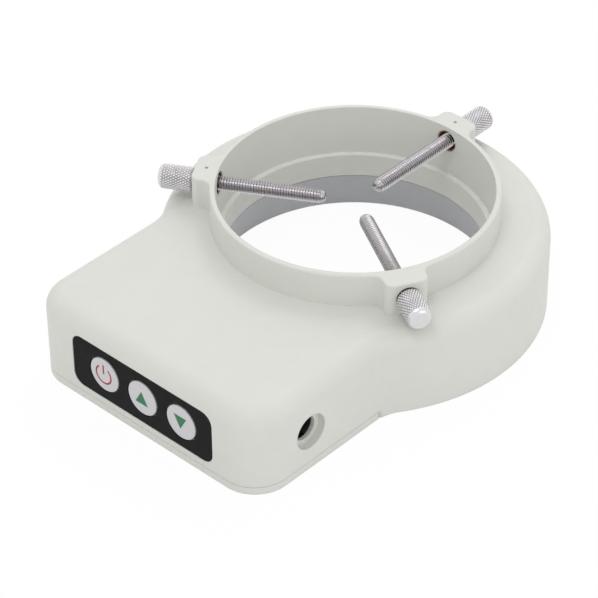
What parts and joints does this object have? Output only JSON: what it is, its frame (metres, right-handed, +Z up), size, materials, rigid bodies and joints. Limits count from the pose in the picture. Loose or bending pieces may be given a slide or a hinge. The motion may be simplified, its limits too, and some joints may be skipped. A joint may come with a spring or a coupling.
{
  "type": "ring light illuminator",
  "caption": "Ring lamp that clamps round a microscope objective, with a built-in dimmer box, push-buttons, a power socket and knurled thumbscrews.",
  "frame": {"origin": "on the ring's axis, in the plane that the ring stands on, where the light leaves", "axes": "+Z up along the ring's axis, -Y from the ring towards the dimmer box and its buttons, +X towards the power socket"},
  "size_m": [0.098, 0.1266, 0.0327],
  "materials": {
    "body_plastic": "fine matte, warm pale grey",
    "carrier_plastic": "matte mid grey",
    "spacer_plastic": "matte white",
    "lens_clear": "clear, lightly frosted",
    "lamp_epoxy": "clear epoxy over a yellow phosphor",
    "board_laminate": "green solder mask",
    "lead_insulation": "soft red sleeve",
    "connector_plastic": "natural nylon",
    "black_plastic": "matte black",
    "overlay_black": "smooth semi-gloss black film",
    "button_silver": "satin silver",
    "plunger_plastic": "matte dark grey",
    "chip_epoxy": "matte moulded epoxy",
    "ferrite": "dark sintered ferrite",
    "capacitor_can": "satin can",
    "contact_metal": "bright tinned metal",
    "screw_steel": "zinc-plated steel",
    "stud_steel": "rolled thread, plain steel",
    "head_nickel": "nickel-plated, knurled",
    "insert_brass": "plain brass"
  },
  "bodies": {
    "frame": {"housing": "body_plastic", "base_cover": "body_plastic", "cover_screws": "screw_steel", "lamp_carrier": "carrier_plastic", "carrier_screws": "screw_steel", "lamp_board": "board_laminate", "led_lamps": "lamp_epoxy", "lamp_spacer": "spacer_plastic", "ring_lens": "lens_clear", "lamp_leads": "lead_insulation", "lead_plug": "connector_plastic", "panel_overlay": "overlay_black", "key_board": "board_laminate", "control_board": "board_laminate", "board_screws": "screw_steel", "header_block": "black_plastic", "header_pins": "contact_metal", "driver_chip": "chip_epoxy", "inductor": "ferrite", "capacitor": "capacitor_can", "power_jack": "black_plastic", "jack_pin": "contact_metal", "jack_contact": "contact_metal", "insert_rear": "insert_brass", "insert_left": "insert_brass", "insert_front": "insert_brass", "switch_power": "black_plastic", "switch_up": "black_plastic", "switch_down": "black_plastic"},
    "stud_rear": {"stud_rear": "stud_steel"},
    "head_rear": {"screw_head_rear": "head_nickel"},
    "stud_left": {"stud_left": "stud_steel"},
    "head_left": {"screw_head_left": "head_nickel"},
    "stud_front": {"stud_front": "stud_steel"},
    "head_front": {"screw_head_front": "head_nickel"},
    "key_power": {"button_power": "button_silver", "plunger_power": "plunger_plastic"},
    "key_up": {"button_up": "button_silver", "plunger_up": "plunger_plastic"},
    "key_down": {"button_down": "button_silver", "plunger_down": "plunger_plastic"}
  },
  "joints": [
    {"name": "thumbscrew_rear_travel", "type": "slide", "parent": "frame", "child": "stud_rear", "axis": [0, 1, 0], "range_m": [0, 0.027]},
    {"name": "thumbscrew_rear_turn", "type": "hinge", "parent": "stud_rear", "child": "head_rear", "pos_m": [0, 0.046, 0.0285], "axis": [0, 1, 0], "range_deg": [0, 13890]},
    {"name": "thumbscrew_left_travel", "type": "slide", "parent": "frame", "child": "stud_left", "axis": [-0.866, -0.5, 0], "range_m": [0, 0.027]},
    {"name": "thumbscrew_left_turn", "type": "hinge", "parent": "stud_left", "child": "head_left", "pos_m": [-0.03984, -0.023, 0.0285], "axis": [-0.866, -0.5, 0], "range_deg": [0, 13890]},
    {"name": "thumbscrew_front_travel", "type": "slide", "parent": "frame", "child": "stud_front", "axis": [0.866, -0.5, 0], "range_m": [0, 0.027]},
    {"name": "thumbscrew_front_turn", "type": "hinge", "parent": "stud_front", "child": "head_front", "pos_m": [0.03984, -0.023, 0.0285], "axis": [0.866, -0.5, 0], "range_deg": [0, 13890]},
    {"name": "button_power_press", "type": "slide", "parent": "frame", "child": "key_power", "axis": [0, 1, 0], "range_m": [0, 0.0003], "stiffness_N_per_m": 5000},
    {"name": "button_up_press", "type": "slide", "parent": "frame", "child": "key_up", "axis": [0, 1, 0], "range_m": [0, 0.0003], "stiffness_N_per_m": 5000},
    {"name": "button_down_press", "type": "slide", "parent": "frame", "child": "key_down", "axis": [0, 1, 0], "range_m": [0, 0.0003], "stiffness_N_per_m": 5000}
  ],
  "couplings": [
    {"joint": "thumbscrew_rear_turn", "follows": "thumbscrew_rear_travel", "rad_per_m": 8976},
    {"joint": "thumbscrew_left_turn", "follows": "thumbscrew_left_travel", "rad_per_m": 8976},
    {"joint": "thumbscrew_front_turn", "follows": "thumbscrew_front_travel", "rad_per_m": 8976}
  ]
}
